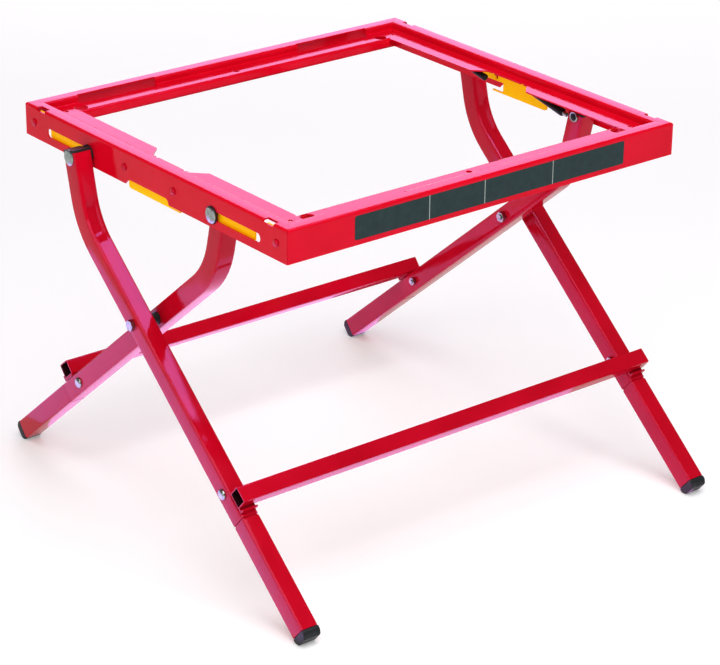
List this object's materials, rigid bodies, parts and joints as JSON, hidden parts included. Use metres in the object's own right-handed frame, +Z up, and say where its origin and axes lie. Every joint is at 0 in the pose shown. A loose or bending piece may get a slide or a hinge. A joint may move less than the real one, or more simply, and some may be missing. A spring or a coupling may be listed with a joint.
{
  "type": "folding saw stand",
  "caption": "Folding stand for a bench saw: stepped sheet-metal frame with sprung latch bars on crossed tube legs whose pins slide in side slots.",
  "frame": {"origin": "on the floor, under the middle of the stand", "axes": "+X along the front rail from left to right, +Y from the front to the back, +Z up"},
  "size_m": [0.7006, 0.72, 0.5207],
  "materials": {
    "red_enamel": "gloss red enamel on steel sheet and tube",
    "latch_yellow": "yellow painted steel",
    "zinc": "bright zinc-plated steel",
    "black_plastic": "moulded black plastic"
  },
  "bodies": {
    "top_frame": {"front_rail": "red_enamel", "back_rail": "red_enamel", "left_rail": "red_enamel", "right_rail": "red_enamel", "left_front_corner_rivet": "red_enamel", "left_front_guide_rivet": "red_enamel", "left_rear_corner_rivet": "red_enamel", "left_rear_guide_rivet": "red_enamel", "right_front_corner_rivet": "red_enamel", "right_front_guide_rivet": "red_enamel", "right_rear_corner_rivet": "red_enamel", "right_rear_guide_rivet": "red_enamel"},
    "rear_bushes": {"left_rear_bush": "black_plastic", "right_rear_bush": "black_plastic"},
    "outer_legs": {"left_outer_upper_leg": "red_enamel", "left_outer_lower_leg": "red_enamel", "left_outer_leg_cap": "black_plastic", "left_outer_foot": "black_plastic", "left_outer_leg_bolt": "zinc", "left_outer_leg_nut": "zinc", "left_outer_pin": "zinc", "left_crossing_bolt": "zinc", "left_crossing_spacer": "black_plastic", "right_outer_upper_leg": "red_enamel", "right_outer_lower_leg": "red_enamel", "right_outer_leg_cap": "black_plastic", "right_outer_foot": "black_plastic", "right_outer_leg_bolt": "zinc", "right_outer_leg_nut": "zinc", "right_outer_pin": "zinc", "right_crossing_bolt": "zinc", "right_crossing_spacer": "black_plastic", "front_crossbar": "red_enamel"},
    "inner_legs": {"left_inner_upper_leg": "red_enamel", "left_inner_lower_leg": "red_enamel", "left_inner_leg_cap": "black_plastic", "left_inner_foot": "black_plastic", "left_inner_leg_bolt": "zinc", "left_inner_leg_nut": "zinc", "left_inner_pin": "zinc", "left_crossing_nut": "zinc", "left_inner_pin_nut": "zinc", "left_front_bush": "black_plastic", "right_inner_upper_leg": "red_enamel", "right_inner_lower_leg": "red_enamel", "right_inner_leg_cap": "black_plastic", "right_inner_foot": "black_plastic", "right_inner_leg_bolt": "zinc", "right_inner_leg_nut": "zinc", "right_inner_pin": "zinc", "right_crossing_nut": "zinc", "right_inner_pin_nut": "zinc", "right_front_bush": "black_plastic", "rear_crossbar": "red_enamel"},
    "left_latch": {"left_latch_bar": "latch_yellow"},
    "right_latch": {"right_latch_bar": "latch_yellow"}
  },
  "joints": [
    {"name": "rear_pin_slide", "type": "slide", "parent": "top_frame", "child": "rear_bushes", "axis": [0, 1, 0], "range_m": [0, 0.0877]},
    {"name": "fold", "type": "hinge", "parent": "rear_bushes", "child": "outer_legs", "pos_m": [0, 0.136, 0.49316], "axis": [-1, 0, 0], "range_deg": [0, 40]},
    {"name": "leg_crossing", "type": "hinge", "parent": "outer_legs", "child": "inner_legs", "pos_m": [0, 0, 0.30736], "axis": [1, 0, 0], "range_deg": [0, 80.1]},
    {"name": "left_latch_lift", "type": "slide", "parent": "top_frame", "child": "left_latch", "axis": [0, 0, 1], "range_m": [0, 0.006], "stiffness_N_per_m": 400, "springref_m": -0.008},
    {"name": "right_latch_lift", "type": "slide", "parent": "top_frame", "child": "right_latch", "axis": [0, 0, 1], "range_m": [0, 0.006], "stiffness_N_per_m": 400, "springref_m": -0.008}
  ],
  "couplings": [
    {"joint": "rear_pin_slide", "follows": "fold", "m_per_rad": 0.12549},
    {"joint": "leg_crossing", "follows": "fold", "ratio": 2}
  ]
}
